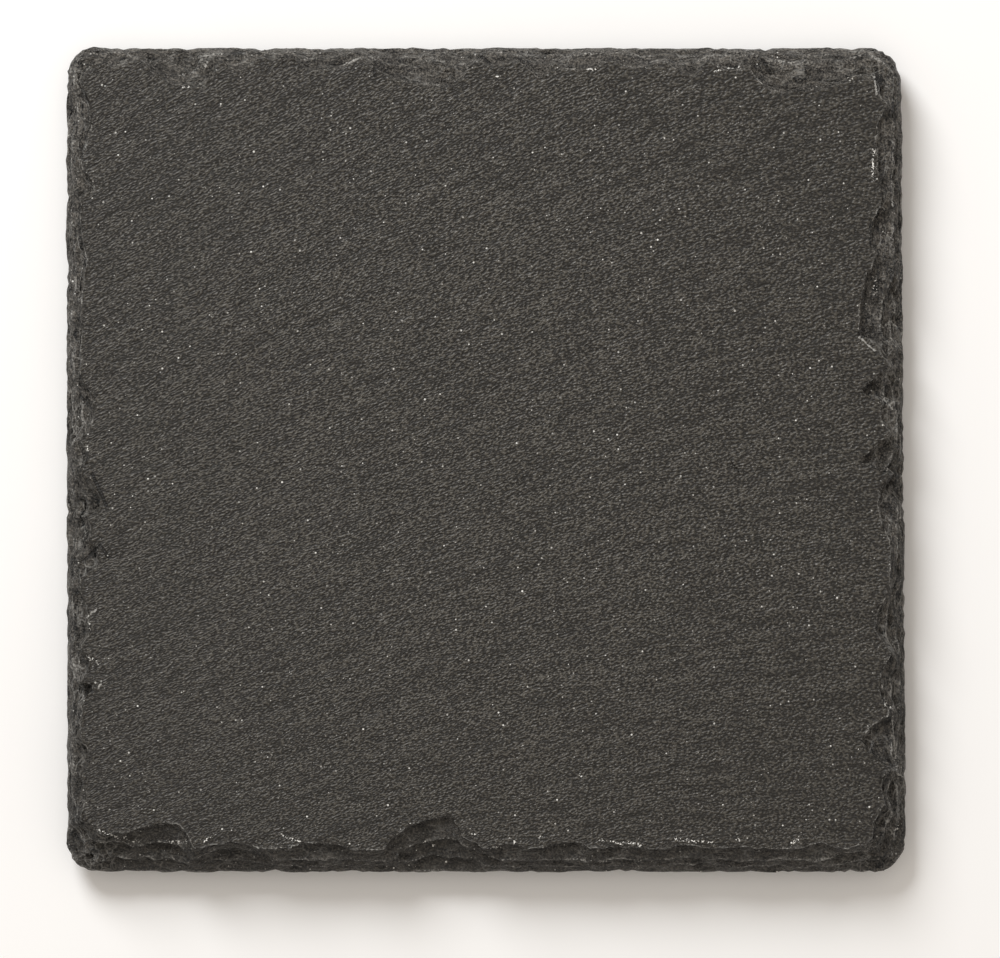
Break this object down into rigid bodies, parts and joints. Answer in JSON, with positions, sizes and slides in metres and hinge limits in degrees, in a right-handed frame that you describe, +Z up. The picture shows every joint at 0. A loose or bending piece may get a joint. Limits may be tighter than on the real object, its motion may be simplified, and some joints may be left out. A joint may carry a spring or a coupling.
{
  "type": "drink coaster",
  "caption": "Square coaster of riven slate with chipped, hand-dressed edges, on four round self-adhesive foam pads.",
  "frame": {"origin": "on the table, under the middle of the coaster's outline", "axes": "+X to the right, along the slightly longer side; +Y to the back; +Z up, through the stone"},
  "size_m": [0.101, 0.0992, 0.0066],
  "materials": {
    "slate": "natural riven slate, unsealed, matt with fine mica glints",
    "foam": "fine closed-cell foam, matt black, die-cut",
    "adhesive": "thin acrylic adhesive film, satin"
  },
  "bodies": {
    "root": {"slate_slab": "slate", "foam_pad_front_left": "foam", "foam_pad_front_right": "foam", "foam_pad_back_right": "foam", "foam_pad_back_left": "foam", "adhesive_front_left": "adhesive", "adhesive_front_right": "adhesive", "adhesive_back_right": "adhesive", "adhesive_back_left": "adhesive"}
  },
  "joints": []
}
